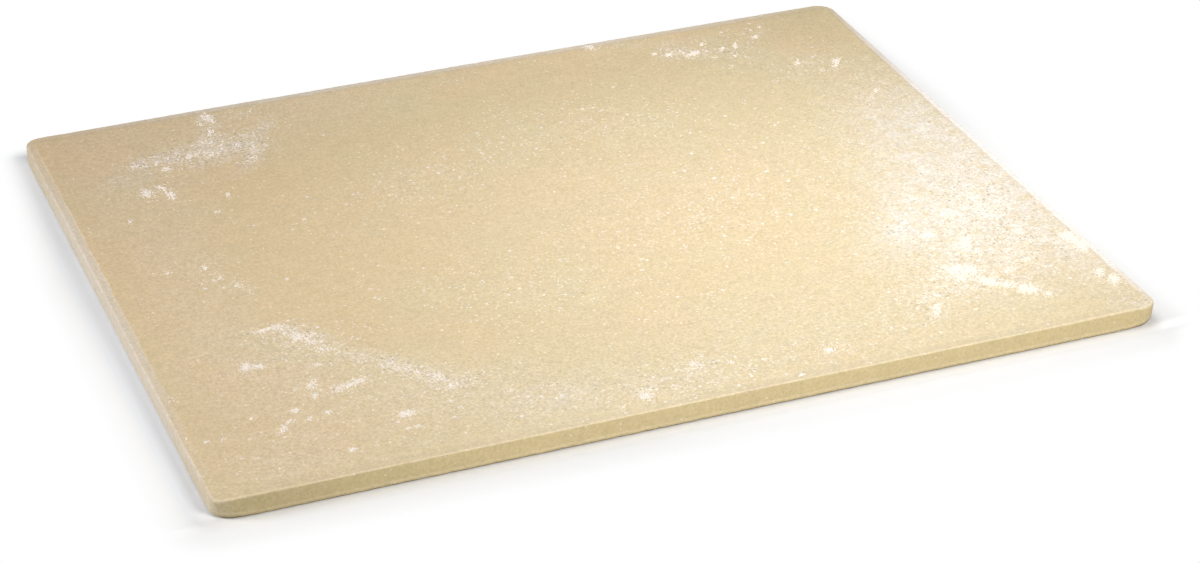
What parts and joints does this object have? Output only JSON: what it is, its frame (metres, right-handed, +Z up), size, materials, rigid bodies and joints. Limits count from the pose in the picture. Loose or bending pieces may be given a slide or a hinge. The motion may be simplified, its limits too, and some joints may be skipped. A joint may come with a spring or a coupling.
{
  "type": "pizza stone",
  "caption": "Flat rectangular ceramic slab with rounded corners and eased edges, laid on an oven rack or grill to bake pizza and bread on.",
  "frame": {"origin": "centre of the flat underside that the slab rests on", "axes": "+X along the long side, to the right in the picture's view, +Y along the short side, away from the viewer, +Z up, out of the baking face"},
  "size_m": [0.43, 0.35, 0.01],
  "materials": {
    "refractory_ceramic": "matt, unglazed, fine sandy grain"
  },
  "bodies": {
    "root": {"baking_slab": "refractory_ceramic"}
  },
  "joints": []
}
